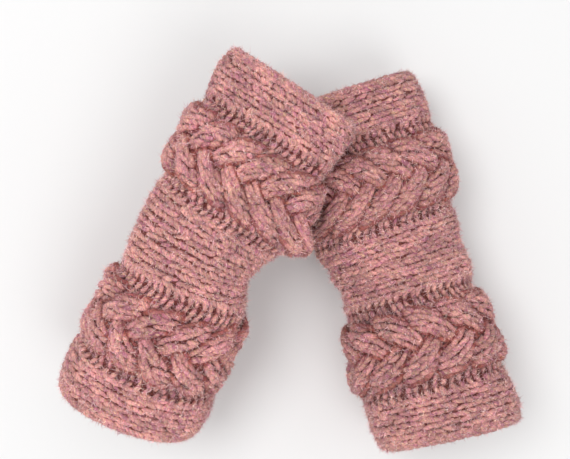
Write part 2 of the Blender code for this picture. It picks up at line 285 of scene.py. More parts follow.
def worn_form(columns, folds, pitches, seam_side, bend_place, heading):
    """Places and outward directions on a grid of stations and turns from the seam."""
    stations = np.arange(-GRID_SPARE, LENGTH + GRID_SPARE + GRID_STEP, GRID_STEP)
    near, far, top, under, slant = (smooth(SECTIONS[:, column], SECTIONS[:, 0], stations)
                                    for column in columns)
    x, z, normal_x, normal_z, length = squarish_oval(near, far, top, under)
    turn = np.linspace(0.0, 1.0, TURN_STEPS + 1)
    reach = (turn * length[:, -1:] - SEAM_DROP) % length[:, -1:]
    x, z, normal_x, normal_z = (
        np.stack([np.interp(*row) for row in zip(reach, length, values)])
        for values in (x, z, normal_x, normal_z))
    along, up, pitch = (values[:, None] for values in bent_axis(stations, pitches))
    lean = (slant / (near + far))[:, None]
    turned = math.radians(heading - 90.0)
    spin = np.array([[math.cos(turned), -math.sin(turned), 0.0],
                     [math.sin(turned), math.cos(turned), 0.0],
                     [0.0, 0.0, 1.0]])
    places = np.stack((x * seam_side, along - lean * x - z * np.sin(pitch),
                       up + z * np.cos(pitch)), axis=-1)
    normals = np.stack((normal_x * seam_side, -lean * normal_x - normal_z * np.sin(pitch),
                        normal_z * np.cos(pitch)), axis=-1)
    return {"places": places @ spin.T + np.array(bend_place), "normals": normals @ spin.T,
            "folds": folds, "stations": stations, "round": length[:, -1], "seam_side": seam_side}


forms = {side: worn_form(*facts) for side, facts in WARMERS.items()}
for side, form in forms.items():
    inside = (form["stations"] >= 0) & (form["stations"] <= LENGTH)
    form["mean_round"] = float(form["round"][inside].mean())
    print(side, "is", round(form["mean_round"], 1), "mm round on average")


# %% A point of the plan on the form
def slit_share(form, station):
    """Half the slit's opening as a share of the way round: a lens from end to end of its band."""
    start = EDGES[SLIT_BAND] + SLIT_INSET
    end = EDGES[SLIT_BAND + 1] - SLIT_INSET
    t = np.clip((station - start) / (end - start), 0.0, 1.0)
    gap = SLIT_GAP * np.where(t < 1.0, np.sin(math.pi * t), 0.0) ** SLIT_FULLNESS
    return gap / 2 / np.interp(station, form["stations"], form["round"])


def fold_rise(folds, station, turn):
    """Sum of smooth mounds and troughs, each a bell along the warmer times a bell round it."""
    total = np.zeros(np.broadcast(station, turn).shape)
    for at, middle, half_along, half_turn, rise in folds:
        away = np.abs((turn - middle + 0.5) % 1.0 - 0.5) / half_turn
        total = total + rise * np.exp(-((station - at) / half_along) ** 2) * np.exp(-away**2)
    return total


def read_grid(grid, i, j):
    """Values of a grid between its points: the four nearest ones, weighted by nearness."""
    low_i = np.clip(i.astype(int), 0, grid.shape[0] - 2)
    low_j = np.clip(j.astype(int), 0, grid.shape[1] - 2)
    a = (i - low_i)[..., None]
    b = (j - low_j)[..., None]
    return ((grid[low_i, low_j] * (1 - b) + grid[low_i, low_j + 1] * b) * (1 - a)
            + (grid[low_i + 1, low_j] * (1 - b) + grid[low_i + 1, low_j + 1] * b) * a)


def on_form(form, station, rows, height):
    """Points and outward directions for stations, shares of the rows and heights.

    Beside the slit the rows are spread over what is left of the way round, so none is cut.
    """
    share = slit_share(form, station)
    turn = np.where(share > 0, share + np.clip(rows, 0.0, 1.0) * (1 - 2 * share), rows % 1.0)
    i = (station - form["stations"][0]) / GRID_STEP
    j = turn * TURN_STEPS
    normals = read_grid(form["normals"], i, j)
    lift = (height + fold_rise(form["folds"], station, turn))[..., None]
    return read_grid(form["places"], i, j) + normals * lift, normals


# %% [markdown]
# ## Yarn as tubes
# A stitch that shows is a short, fat length of yarn. A curve with a bevel could draw one, but
# thousands are slow to build and carry no values for a material. Here each stitch is a six-sided
# tube with closed ends, all made at once: the paths are one array, the frame across each path comes
# from the cloth's outward direction, and the rings are that frame turned through six angles. Every
# point keeps its place in the yarn, for the fibres in the material.

# %% Tubes from whole arrays
SIDES = 6
PLY_PITCH = 9.0               # the yarn turns once in this many millimetres
PATTERN_SPREAD = 400.0        # each yarn starts anywhere in this length of the pattern


def unit(vectors):
    """Vectors scaled to length one."""
    return vectors / np.maximum(np.linalg.norm(vectors, axis=-1, keepdims=True), 1e-9)


def tube_quads(count, rings):
    """Faces of many tubes: rings joined side by side, and two quads over each end."""
    ring = np.arange(rings - 1)[:, None] * SIDES
    side = np.arange(SIDES)[None, :]
    after = (side + 1) % SIDES
    walls = np.stack(np.broadcast_arrays(ring + side, ring + SIDES + side, ring + SIDES + after,
                                         ring + after), -1)
    last = (rings - 1) * SIDES
    ends = np.array([(0, 1, 2, 3), (0, 3, 4, 5), (last + 3, last + 2, last + 1, last),
                     (last + 5, last + 4, last + 3, last)])
    one = np.concatenate((walls.reshape(-1, 4), ends))
    return (one[None] + np.arange(count)[:, None, None] * rings * SIDES).reshape(-1, 4)


def yarn_tubes(paths, outward, radius, height):
    """Tubes round paths (n, k, 3): P + r (cos a * side + sin a * lift), for six angles a.

    Returns the points, the faces, each point's place in its yarn in millimetres, how near it is to
    the top of its stitch, from 0 to 1, and its way out of the yarn.
    """
    count, rings, _ = paths.shape
    tangent = unit(np.gradient(paths, axis=1))
    side = unit(np.cross(tangent, outward))
    lift = np.cross(side, tangent)
    angle = np.arange(SIDES) * math.tau / SIDES
    wheel = (side[:, :, None] * np.cos(angle)[:, None]
             + lift[:, :, None] * np.sin(angle)[:, None])
    points = paths[:, :, None] + radius[:, :, None, None] * wheel
    steps = np.linalg.norm(np.diff(paths, axis=1), axis=2)
    along = np.concatenate((np.zeros((count, 1)), np.cumsum(steps, axis=1)), axis=1)
    along = along + rng.uniform(0.0, PATTERN_SPREAD, (count, 1))
    twist = angle + (along * math.tau / PLY_PITCH)[..., None]
    place = np.stack((radius[..., None] * np.cos(twist), radius[..., None] * np.sin(twist),
                      np.broadcast_to(along[..., None], twist.shape)), axis=-1)
    # the depth below is what the material turns into painted shade: lower on a stitch means darker
    rise = height[..., None] + radius[..., None] * np.sin(angle)
    fattest = radius.max(axis=1)[:, None, None]
    top = rise.max(axis=(1, 2))[:, None, None]
    depth = np.clip(1.0 - (top - rise) / (2 * fattest), 0.0, 1.0)
    return (points.reshape(-1, 3), tube_quads(count, rings), place.reshape(-1, 3), depth.ravel(),
            wheel.reshape(-1, 3))


def grain(t, blunt=0.5):
    """A stitch's thickness along its way: 0.3 where it dives under, rising to 1 between."""
    return 0.30 + 0.70 * np.sin(math.pi * np.clip(t, 0.0, 1.0)) ** blunt


# %% [markdown]
# ## Heathered wool and painted shade
# The yarn is spun from rose wool with plum and tan hairs in it, so its colour changes every few
# millimetres, and its surface is a fuzz of fine hairs that lie along the twist. A pattern over the
# whole cloth would ignore the stitches, so both effects are node groups that read the place in the
# yarn. The sheen is one value, set on the shader.
# The colour group also paints shade: it darkens yarn that lies deep between the stitches, and the
# cloth's outer face most of all.

# %% Node groups
HAIR = (1.05, 1.05, 0.28)     # noise is stretched along the yarn
FLECK = (0.80, 0.80, 0.13)
TAN_FINENESS = 1.7            # tan flecks are this much finer than plum ones
OBJECT_SCALE = 1000.0         # object coordinates are metres
CLOUD_SCALE = 0.11            # clouds of plum, about 9 mm across
PATCH_SCALE = 0.065           # lighter and darker patches, about 15 mm across
# Each ramp goes from a low and a high value in to a low and a high value out
PLUM_STREAKS = (0.48, 0.62, 0.0, 0.90)
PLUM_CLOUDS = (0.46, 0.66, 0.0, 0.45)
TAN_STREAKS = (0.52, 0.66, 0.0, 0.65)
HAIR_SHADE = (0.30, 0.70, 0.58, 1.34)
STITCH_SHADE = (0.0, 1.0, 0.85, 1.14)
PATCH_SHADE = (0.35, 0.65, 0.90, 1.08)
# Painted shade: this ramp turns depth into how much of the hollow colour, which stands for shade, is
# left out
OUT_OF_HOLLOW = (0.30, 0.92, 0.0, 1.0)
# Painted shade: the lowest depths, the cloth's outer face, are darkened further
GROUND_SHADE = (0.0, 0.25, 0.52, 1.0)
WHITE = (1.0, 1.0, 1.0, 1.0)


def new_group(name, inputs, outputs):
    """An empty shader node group with named sockets, each a Color, a Float or a Vector."""
    group = bpy.data.node_groups.new(name, "ShaderNodeTree")
    for way, sockets in (("INPUT", inputs), ("OUTPUT", outputs)):
        for socket, kind in sockets.items():
            group.interface.new_socket(socket, in_out=way, socket_type="NodeSocket" + kind)
    return group, group.nodes.new("NodeGroupInput"), group.nodes.new("NodeGroupOutput")


def feed(group, socket, value):
    """Puts a value into a socket: another socket is linked, anything else is set."""
    if isinstance(value, bpy.types.NodeSocket):
        group.links.new(value, socket)
    else:
        socket.default_value = value


def node(group, kind, inputs, output, **settings):
    """The output of a new node, its settings made and its inputs fed, by name or by number."""
    made = group.nodes.new("ShaderNode" + kind)
    for name, value in settings.items():
        setattr(made, name, value)
    for socket, value in inputs.items():
        feed(group, made.inputs[socket], value)
    return made.outputs[output]


def stretched(group, vector, scale):
    """A vector scaled by a different amount along each axis."""
    return node(group, "VectorMath", {0: vector, 1: scale}, "Vector", operation="MULTIPLY")


def noise(group, vector, scale, detail, roughness=0.55):
    """The value of a Noise texture."""
    return node(group, "TexNoise", {"Vector": vector, "Scale": scale, "Detail": detail,
                                    "Roughness": roughness}, "Fac")


def ramp(group, value, low, high, out_low, out_high):
    """A value mapped smoothly from one range to another."""
    return node(group, "MapRange", {"Value": value, "From Min": low, "From Max": high,
                                    "To Min": out_low, "To Max": out_high}, "Result",
                interpolation_type="SMOOTHSTEP")


def mixed(group, share, one, two, blend="MIX"):
    """Two colours mixed by a share; each may be a socket or a colour."""
    return node(group, "Mix", {0: share, 6: one, 7: two}, 2, data_type="RGBA", blend_type=blend)


def grey(group, value):
    """A grey colour from a value."""
    return node(group, "CombineColor", {"Red": value, "Green": value, "Blue": value}, "Color")


def math_node(group, operation, one, two):
    """One arithmetic step on two values, each a socket or a number."""
    return node(group, "Math", {0: one, 1: two}, 0, operation=operation)


def heather_and_shade_group():
    """Rose wool mixed with plum and tan: cloudy over the cloth, streaked along the yarn, with painted
    shade deep down.
    """
    sockets = {"Rose": "Color", "Plum": "Color", "Tan": "Color", "Painted Hollow Shade": "Color",
               "Stitch": "Float", "Depth": "Float", "Yarn": "Vector", "Cloth": "Vector"}
    group, source, result = new_group("heathered wool", sockets, {"Color": "Color"})
    put = source.outputs
    streaks = stretched(group, put["Yarn"], FLECK)
    finer = stretched(group, put["Yarn"], tuple(TAN_FINENESS * v for v in FLECK))
    hairs = stretched(group, put["Yarn"], HAIR)
    cloth = stretched(group, put["Cloth"], (OBJECT_SCALE,) * 3)
    plum = math_node(group, "MAXIMUM",
                     ramp(group, noise(group, streaks, 1.0, 3.0), *PLUM_STREAKS),
                     ramp(group, noise(group, cloth, CLOUD_SCALE, 2.0), *PLUM_CLOUDS))
    colour = mixed(group, plum, put["Rose"], put["Plum"])
    tan = ramp(group, noise(group, finer, 1.0, 2.0), *TAN_STREAKS)
    colour = mixed(group, tan, colour, put["Tan"])
    fine = ramp(group, noise(group, hairs, 1.0, 3.0, 0.7), *HAIR_SHADE)
    patches = ramp(group, noise(group, cloth, PATCH_SCALE, 2.0), *PATCH_SHADE)
    shade = math_node(group, "MULTIPLY", fine, ramp(group, put["Stitch"], *STITCH_SHADE))
    shade = math_node(group, "MULTIPLY", shade, patches)
    colour = mixed(group, 1.0, colour, grey(group, shade), "MULTIPLY")
    # Painted shade: yarn that lies deep between the stitches is multiplied towards the hollow colour
    hollow = mixed(group, ramp(group, put["Depth"], *OUT_OF_HOLLOW), put["Painted Hollow Shade"], WHITE)
    colour = mixed(group, 1.0, colour, hollow, "MULTIPLY")
    # Painted shade: the cloth's outer face and the lowest yarn are darker still
    ground = ramp(group, put["Depth"], *GROUND_SHADE)
    colour = mixed(group, 1.0, colour, grey(group, ground), "MULTIPLY")
    feed(group, result.inputs["Color"], colour)
    return group


def hairy_group():
    """Height of the fuzz: fine hairs along the yarn over the soft swell of its plies."""
    group, source, result = new_group("hairy yarn", {"Yarn": "Vector"}, {"Height": "Float"})
    yarn = source.outputs["Yarn"]
    hairs = noise(group, stretched(group, yarn, HAIR), 1.0, 4.0, 0.65)
    swell = noise(group, stretched(group, yarn, FLECK), 1.6, 2.0)
    height = math_node(group, "ADD", hairs, math_node(group, "MULTIPLY", swell, 0.8))
    feed(group, result.inputs["Height"], height)
    return group


HEATHER_AND_SHADE = heather_and_shade_group()
HAIRY = hairy_group()
print("node groups:", HEATHER_AND_SHADE.name, "and", HAIRY.name)

# %% Wool material
HOLLOW_PAINTED_SHADE = (0.50, 0.280, 0.255, 1.0)     # painted shade: what the colour is multiplied by deep between stitches
ROSE = (0.686, 0.322, 0.294)
PLUM = (0.43, 0.145, 0.225)
TAN = (0.74, 0.510, 0.290)
SIDE_LIGHTNESS = {"left": 1.04, "right": 0.92}    # the wool's colours are scaled by this: the right one is a little darker in the photograph
LOOSE_TONES = ((0.90, 0.64, 0.63, 1.0), (0.66, 0.34, 0.44, 1.0), (0.87, 0.71, 0.53, 1.0))
SHEEN_TINT = (1.0, 0.78, 0.74, 1.0)


def wool(name, rose, plum, tan, bump=0.6, sheen=0.12):
    """A matt wool: heather colour and painted shade, and hairy bump, from the groups; sheen on the
    shader itself.
    """
    material = bpy.data.materials.new(name)
    material.use_nodes = True
    tree = material.node_tree
    yarn = node(tree, "Attribute", {}, "Vector", attribute_name="yarn_place")
    stitch = node(tree, "Attribute", {}, "Fac", attribute_name="stitch")
    depth = node(tree, "Attribute", {}, "Fac", attribute_name="depth")
    cloth = node(tree, "TexCoord", {}, "Object")
    colour = node(tree, "Group", {"Rose": rose, "Plum": plum, "Tan": tan, "Painted Hollow Shade": HOLLOW_PAINTED_SHADE,
                                  "Stitch": stitch, "Depth": depth, "Yarn": yarn,
                                  "Cloth": cloth}, "Color", node_tree=HEATHER_AND_SHADE)
    height = node(tree, "Group", {"Yarn": yarn}, "Height", node_tree=HAIRY)
    bumps = {"Strength": bump, "Distance": 1.0 * MM, "Height": height}
    shader = tree.nodes["Principled BSDF"]
    for socket, value in (
            ("Base Color", colour), ("Normal", node(tree, "Bump", bumps, "Normal")),
            ("Roughness", 0.95), ("Specular IOR Level", 0.15), ("Sheen Weight", sheen),
            ("Sheen Roughness", 0.6), ("Sheen Tint", SHEEN_TINT)):
        feed(tree, shader.inputs[socket], value)
    return material


WOOL = {}
for side, lightness in SIDE_LIGHTNESS.items():
    tones = [tuple(lightness * v for v in tone) + (1.0,) for tone in (ROSE, PLUM, TAN)]
    WOOL[side] = wool(side + "_wool", *tones)
LOOSE = {side: wool(side + "_loose_hair", *LOOSE_TONES, bump=0.0, sheen=0.0) for side in WARMERS}
print("wools:", [made.name for made in (*WOOL.values(), *LOOSE.values())])

# %% [markdown]
# ## Keeping the pieces
# A warmer has seven pieces: cloth, ribs, gutters, plaits, rims, seam and hairs. They could be joined,
# but apart each can be hidden and looked at. Each gets its attributes, its material and its body as
# it is made, and the yarn's points are kept, because the hairs will grow out of them.

# %% Dress a piece
pieces = {side: {} for side in WARMERS}
yarn_backs = {side: [] for side in WARMERS}
BACK = {"point": slice(0, 3), "way_out": slice(3, 6), "depth": 6, "place": slice(7, 10)}


def dress(side, label, points, faces, place, stitch, depth, material):
    """Makes a named piece of a warmer, from millimetres, with its attributes and material."""
    piece = linked_mesh(f"{side}_{label}", points * MM, faces)
    piece.data.attributes.new("yarn_place", "FLOAT_VECTOR", "POINT").data.foreach_set(
        "vector", place.astype(np.float32).ravel())
    for name, values in (("stitch", stitch), ("depth", depth)):
        piece.data.attributes.new(name, "FLOAT", "POINT").data.foreach_set(
            "value", values.astype(np.float32))
    piece.data.materials.append(material)
    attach(piece, "root")
    pieces[side][label] = piece
    print(piece.name, len(faces) * (faces.shape[1] - 2), "triangles")
    return piece


def knit(side, label, station, rows, height, radius, shade=None, soft=0.0):
    """Lays tubes along plan paths (n, k) and dresses them as one piece.

    A path's painted shade, from 0 to 1, darkens what lies low among its neighbours, and a soft tube's
    own flanks get less painted shade.
    """
    paths, outward = on_form(forms[side], station, rows, height)
    points, quads, place, depth, way_out = yarn_tubes(paths, outward, radius, height)
    # painted shade: a soft tube's depth is eased up, and a path's shade multiplies it
    depth = soft + (1.0 - soft) * depth
    if shade is not None:
        depth = depth * np.repeat(shade.ravel(), SIDES)
    yarn_backs[side].append(np.column_stack((points, way_out, depth, place)))
    stitch = np.repeat(rng.uniform(0.0, 1.0, len(paths)), paths.shape[1] * SIDES)
    return dress(side, label, points, quads, place, stitch, depth, WOOL[side])


# %% [markdown]
# ## The cloth
# Under the stitches lies the cloth itself, a closed slab with the rectangle's true cut: its outer
# face follows the ribs, gutters and plaits a little below the yarn, its inner face carries the bumps
# of the purl side, and its two long edges meet at the seam and part at the thumb slit. A displaced
# plane would stretch at the rims, so the slab is made as two grids on the form, with walls between.
# Its outer face carries painted shade, dark all over, because it only shows deep between the
# stitches.

# %% The plait's strands
STRAND_SWING = 0.62           # in half band widths
STRAND_HALF = 0.39            # half a strand's width, in half band widths
OUTWARD = 0.82                # share of its way that a strand takes to go out over the others
ARM_BEND = 0.90               # under 1, a strand leaves the middle steeply and bends at the edge
PLAIT_FLOOR = 0.6
PLAIT_EASE = 6.0              # how fast the plait's relief fades in from the band's edges
STRAND_RISE = 5.4
STRAND_LIFT = 3.5             # how far a strand goes up over the others and down under them
WIDEST = 1.22                 # how much wider a steep strand may be, measured across the band
HALF_BAND = 22.0
CHEVRON_LENGTH = 17.4         # along the band
TURN_STEP = 0.05              # radians of a strand's way between which its slope is read


def strand_path(turn):
    """Side-to-side place of a strand, -1 to 1, and its lift: slowly out over, fast back under."""
    half_way = (turn / math.pi) % 1.0
    side = np.where((turn / math.tau) % 1.0 < 0.5, 1.0, -1.0)
    outward = np.clip(half_way / OUTWARD, 0.0, 1.0)
    inward = np.clip((half_way - OUTWARD) / (1.0 - OUTWARD), 0.0, 1.0)
    reach = np.where(half_way < OUTWARD, np.sin(math.pi / 2 * outward) ** ARM_BEND,
                     np.cos(math.pi / 2 * inward))
    lift = np.where(half_way < OUTWARD, np.sin(math.pi * outward), -np.sin(math.pi * inward))
    return side * reach, lift


def strand_turn(rows, strand):
    """How far round its own way a strand is, in radians, at a share of the rows."""
    return -rows * CHEVRONS * math.tau / STRANDS + strand * math.tau / STRANDS


def strand_widening(turn):
    """How much wider a slanting strand is across the band: 1 / cos of its slant, up to a limit."""
    rise = STRAND_SWING * HALF_BAND * (strand_path(turn + TURN_STEP)[0]
                                       - strand_path(turn - TURN_STEP)[0])
    run = 2 * TURN_STEP * CHEVRON_LENGTH * STRANDS / math.tau
    return np.minimum(np.hypot(1.0, rise / run), WIDEST)


def plait_height(across, rows, skip=None, slim=1.0):
    """Height of the plait over the gutter: the highest of its strands, each with a round back."""
    height = np.full(np.broadcast(across, rows).shape, PLAIT_FLOOR)
    for strand in range(STRANDS):
        turn = strand_turn(rows, strand)
        reach, lift = strand_path(turn)
        half = slim * STRAND_HALF * strand_widening(turn)
        away = np.clip(np.abs(across - STRAND_SWING * reach) / half, 0.0, 1.0)
        top = PLAIT_FLOOR + STRAND_RISE * np.sqrt(1.0 - away**2) + STRAND_LIFT * lift
        top = np.where(away < 1.0, top, 0.0)
        if skip is not None:
            top = np.where(skip == strand, 0.0, top)
        height = np.maximum(height, top)
    return height


# %% Relief of the cloth
SINK = {"rim": 1.6, "rib": 1.5, "purl": 0.9, "plait": 2.7}    # how far it lies under the yarn
CLOTH_SLIM = 0.74             # the cloth's strands are narrower than the yarn's, so none is bare
RIB_FLOOR = 0.3
RIB_CREST = 1.5
RIM_RISE = 0.9
LOWEST = 0.05                 # the outer face never goes under this


def cloth_height(station, rows):
    """Height of the cloth's outer face over its middle face, a little under the yarn."""
    height = np.zeros(np.broadcast(station, rows).shape)
    for (kind, columns, width), start in zip(BANDS, EDGES):
        along = (station - start) / width
        here = (along >= 0) & (along < 1)
        if kind == "rib":
            across = 2.0 * ((along * columns) % 1.0) - 1.0
            rise = RIB_FLOOR + RIB_CREST * np.sqrt(np.clip(1.0 - across**2, 0.0, 1.0))
        elif kind == "plait":
            rise = plait_height(2.0 * along - 1.0, rows, slim=CLOTH_SLIM)
            rise = rise * np.clip(PLAIT_EASE * np.minimum(along, 1 - along), 0.0, 1.0)
        else:
            rise = np.full(height.shape, RIM_RISE if kind == "rim" else 0.0)
        height = np.where(here, WALL_OUT + rise - SINK[kind], height)
    return np.maximum(height, LOWEST)


# %% The slab
CLOTH_STATIONS = 110
CLOTH_ROWS_PER_STITCH = 3
EDGE_INSET = 0.9              # the slab stops short of the rims' yarn
SEAM_HALF = 0.0008            # half the gap between the sewn edges, as a share of the way round
PURL_RISE = 0.55
INSIDE_DEPTH = 0.62           # the inside's painted lightness half way up a bump: painted shade darkens the rows' hollows
BUMP_DEPTH = 0.6              # how much lighter the painted shade gets for each millimetre up


def purl_bumps(station, rows):
    """Rise of the purl side: one bump a row, shifted by half a row in every other column."""
    column = np.floor(station / COLUMN)
    return PURL_RISE * np.cos(math.tau * rows * ROWS + math.pi * (column % 2))


def slab(side):
    """The closed slab of one warmer: outer grid, inner grid, and a wall round all four edges."""
    form = forms[side]
    u = np.linspace(EDGE_INSET, LENGTH - EDGE_INSET, CLOTH_STATIONS)[:, None]
    v = np.linspace(SEAM_HALF, 1.0 - SEAM_HALF, ROWS * CLOTH_ROWS_PER_STITCH + 1)[None, :]
    u, v = np.broadcast_arrays(u, v)
    bumps = purl_bumps(u, v)
    outer, _ = on_form(form, u, v, cloth_height(u, v))
    inner, _ = on_form(form, u, v, -WALL_IN - bumps)
    rows, columns = u.shape
    index = np.arange(rows * columns).reshape(rows, columns)
    face = np.stack((index[:-1, :-1], index[:-1, 1:], index[1:, 1:], index[1:, :-1]), -1)
    face = face.reshape(-1, 4)
    border = np.concatenate((index[0, :], index[1:, -1], index[-1, -2::-1], index[-2:0:-1, 0]))
    after = np.roll(border, -1)
    shift = rows * columns
    wall = np.column_stack((border, border + shift, after + shift, after))
    quads = np.concatenate((face, face[:, ::-1] + shift, wall))
    if form["seam_side"] < 0:                 # the right warmer is a mirror image
        quads = quads[:, ::-1]
    place = np.stack((u, v * form["mean_round"], np.zeros(u.shape)), axis=-1).reshape(-1, 3)
    stitch = np.full(2 * shift, 0.5)
    # painted shade: depth 0 paints the outer face darkest; the inside is painted darker in the
    # hollows between its purl bumps
    depth = np.concatenate((np.zeros(shift), INSIDE_DEPTH + BUMP_DEPTH * bumps.ravel()))
    points = np.concatenate((outer.reshape(-1, 3), inner.reshape(-1, 3)))
    return dress(side, "cloth", points, quads, np.concatenate((place, place)), stitch, depth,
                 WOOL[side])


for side in WARMERS:
    slab(side)

# %% [markdown]
# ## Rib stitches
# A knit column is a chain of V's. Each leg of a V is a grain of yarn that starts close to the
# column's middle, swells, and dives under the next V where the column is widest. A bump texture would
# leave the outline smooth, so each leg is a tube of its own. One formula places all the legs of a
# warmer, and small random shifts keep them from looking stamped.

# %% Legs of the knit columns
LEG_RINGS = 5
LEG_ROWS = 1.70               # length of a leg, in rows
LEG_RADIUS = 1.55
LEG_TOP = 2.75                # height of the yarn's back over the middle face
LEG_DIVE = 0.95               # how far its ends go down
CLOSE = 0.08                  # the V's feet, in columns from its middle
WIDE = 0.40                   # the V's tops
DIVE_EASE = 0.7               # under 1, a leg stays up for longer and dives faster
# painted shade on the rib legs' own flanks is eased by this share
RIB_SOFT = 0.32
RIB_STRAY = {"across": 0.34, "long": 0.10, "along": 0.12, "thick": 0.11, "up": 0.24}


def every(*choices):
    """One column for each list of choices; together their rows go through every combination."""
    return [values.ravel()[:, None] for values in np.meshgrid(*choices, indexing="ij")]


def dive(t):
    """How far down a leg has gone, 0 in its middle and 1 at its ends: 1 - sin(pi t) ** ease."""
    return 1 - np.sin(math.pi * t) ** DIVE_EASE


def column_middles():
    """Stations of the knit columns' middles, and each column's width."""
    middles = []
    for (kind, columns, width), start in zip(BANDS, EDGES):
        if kind == "rib":
            middles += [(start + width * (n + 0.5) / columns, width / columns)
                        for n in range(columns)]
    return np.array(middles)


def rib_legs(side):
    """Legs at (column, row, side of the V): c + s * (wide..close) across, along the rows, domed."""
    middles = column_middles()
    t = np.linspace(0.0, 1.0, LEG_RINGS)
    column, row, leg = every(np.arange(len(middles)), np.arange(ROWS), (-1.0, 1.0))
    jitter = rng.normal(0.0, 1.0, (4, len(column), 1))
    width = middles[column, 1]
    spread = WIDE + (CLOSE - WIDE) * t
    station = middles[column, 0] + leg * width * spread + RIB_STRAY["across"] * jitter[0]
    length = LEG_ROWS * (1 + RIB_STRAY["long"] * jitter[1])
    rows = (row + 0.5 + (t - 0.5) * length + RIB_STRAY["along"] * jitter[1]) / ROWS
    radius = LEG_RADIUS * grain(t) * (1 + RIB_STRAY["thick"] * jitter[2])
    height = LEG_TOP - LEG_RADIUS - LEG_DIVE * dive(t) + RIB_STRAY["up"] * jitter[3]
    return station, rows, height, radius


for side in WARMERS:
    knit(side, "ribs", *rib_legs(side), soft=RIB_SOFT)

# %% [markdown]
# ## Gutter rungs
# The purl gutters look like little ladders: in each row a bar of yarn crosses from the knit column
# on one side to the plait on the other and sags between them, over a dark gap. One long bar would
# need many rings to bend like that, so short bars that overlap are laid end to end.

# %% Rungs of the gutters
RUNG_RADIUS = 1.60
RUNG_REACH = 0.40             # half a bar's length, in gutter widths
RUNG_PLACES = (-0.36, 0.36, 1.02, 1.64)    # the bars' middles, in gutter widths towards the plait
RUNG_FLOOR = 0.25
RUNG_RISE = 1.7               # a bar's rise, one gutter width from the middle
RUNG_CURVE = 1.3
RUNG_TOP = 0.75               # past this many gutter widths the bars rise no more
RUNG_SLANT = 0.55             # rows that a bar slants by in one gutter width
RUNG_STEP = 0.12              # rows between one bar and the next
RUNG_BLUNT = 0.4
RUNG_STRAY = {"across": 0.2, "along": 0.10, "thick": 0.10, "up": 0.22}


def gutter_rungs():
    """Bars at (gutter, place, row): two make a bent rung, and two more go on under the plait."""
    gutters = []
    for number, ((kind, _, width), start) in enumerate(zip(BANDS, EDGES)):
        if kind == "purl":
            plait_side = 1.0 if BANDS[number + 1][0] == "plait" else -1.0
            gutters.append((start + width / 2, width, plait_side))
    gutters = np.array(gutters)
    t = np.linspace(0.0, 1.0, LEG_RINGS)
    gutter, place, row = every(np.arange(len(gutters)), np.arange(len(RUNG_PLACES)),
                               np.arange(ROWS))
    jitter = rng.normal(0.0, 1.0, (4, len(row), 1))
    way = np.where(place == 0, -1.0, 1.0)
    across = np.array(RUNG_PLACES)[place] + (t - 0.5) * 2 * RUNG_REACH * way
    station = (gutters[gutter, 0] + gutters[gutter, 2] * across * gutters[gutter, 1]
               + RUNG_STRAY["across"] * jitter[3])
    rows = (row + 0.5 + RUNG_SLANT * np.abs(across) + RUNG_STEP * (place - 1)
            + RUNG_STRAY["along"] * jitter[0]) / ROWS
    height = (RUNG_FLOOR + RUNG_RISE * np.minimum(np.abs(across), RUNG_TOP) ** RUNG_CURVE
              + RUNG_STRAY["up"] * jitter[1])
    radius = RUNG_RADIUS * grain(t, RUNG_BLUNT) * (1 + RUNG_STRAY["thick"] * jitter[2])
    return station, rows, height, radius


for side in WARMERS:
    knit(side, "gutters", *gutter_rungs())

# %% [markdown]
# ## The plaits
# Three strands, each three knit columns wide, cross in turn, so the arms of a chevron show. Three
# bent tubes would look like rope, not like knitting, so each strand is laid with stitches: its back
# is round, and its six lines of legs fan out over it. Legs that another strand hides are left out.

# %% Legs on the strands
STRAND_LINES = np.array([-68.0, -41.0, -14.0, 14.0, 41.0, 68.0])   # degrees over a strand's back
STRAND_REACH = 7.2            # from the strand's middle to its outermost leg, across the band
PLAIT_LEG_RADIUS = 1.66
PLAIT_LEG_ROWS = 1.60
PLAIT_DIVE = 0.9
LEG_SLANT = 9.0               # degrees that a leg leans out from its column's middle
UNDERSIDE = 0.8               # no leg goes further down than this, so none comes out inside
HIDDEN = 2.0                  # a leg this far under another strand is left out
STEEPEST = 2.6                # slope of a strand past which it runs underneath
# Painted shade on the plait legs: darker on a strand's flanks and where a leg lies low beside another
# strand
DARKEST_FLANK = 0.42
FLANK_EASE = 0.8
AT_THE_TOP = 0.25             # painted shade of a leg that is level with the strand beside it
CLEAR = 2.2                   # its height over that strand adds to the painted shade value at one in this
DARKEST = 0.12
# painted shade on the plait legs' own flanks is eased by this share
PLAIT_SOFT = 0.5
PLAIT_STRAY = {"degrees": 4.0, "long": 0.08, "thick": 0.08, "up": 0.24}


